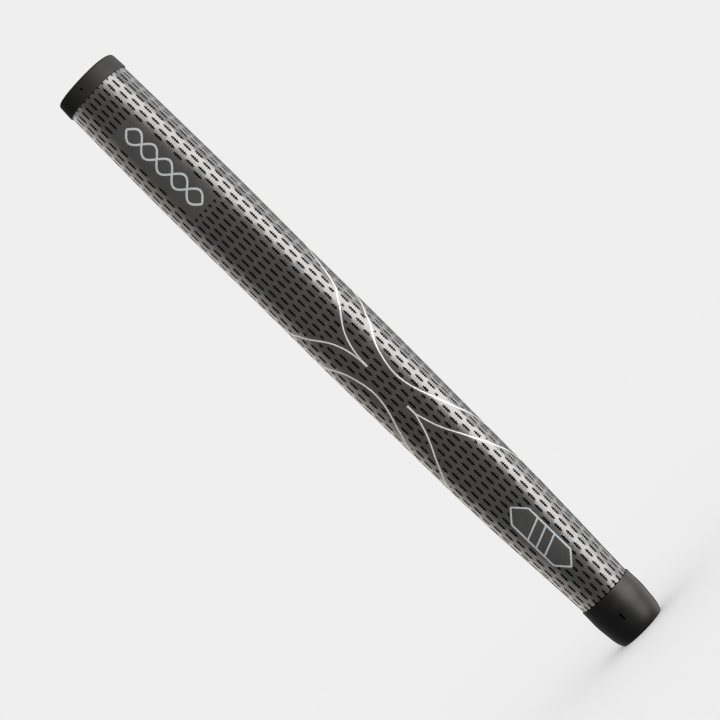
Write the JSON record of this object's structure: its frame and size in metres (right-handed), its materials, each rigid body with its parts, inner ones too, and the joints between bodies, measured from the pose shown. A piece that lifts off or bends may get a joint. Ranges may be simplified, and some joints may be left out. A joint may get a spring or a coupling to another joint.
{
  "type": "golf putter grip",
  "caption": "Midsize putter grip: embossed polymer wrap over a foam sleeve, rubber butt cap and mouth collar, silver curved lines, flat front.",
  "frame": {"origin": "centre of the mouth face, on the axis of the shaft bore", "axes": "+Z along the shaft bore from the mouth towards the butt, -Y towards the flat front of the grip, +X to the right of someone who looks at the front with the butt up"},
  "size_m": [0.0262, 0.0256, 0.27],
  "materials": {
    "foam": "closed-cell foam rubber, matte",
    "textile": "felted textile backing",
    "polymer": "embossed tacky polymer skin, dark grey with black grooves, satin",
    "sealant": "sealed seam, satin black",
    "cap_rubber": "moulded black rubber, matte",
    "collar_rubber": "moulded black rubber, matte",
    "washer_plastic": "natural nylon",
    "silver_print": "silver paint in the printed lines",
    "motif_print": "dull silver print of the motif and the badge"
  },
  "bodies": {
    "root": {"shaft_sleeve": "foam", "wrap_backing": "textile", "wrap_skin": "polymer", "rear_seam_strip": "sealant", "butt_cap": "cap_rubber", "shaft_stop_washer": "washer_plastic", "mouth_collar": "collar_rubber", "upper_chevron_right": "silver_print", "upper_chevron_left": "silver_print", "lower_chevron_right": "silver_print", "lower_chevron_left": "silver_print", "sweep_right": "silver_print", "sweep_left": "silver_print", "butt_motif": "motif_print", "mouth_badge": "motif_print"}
  },
  "joints": []
}
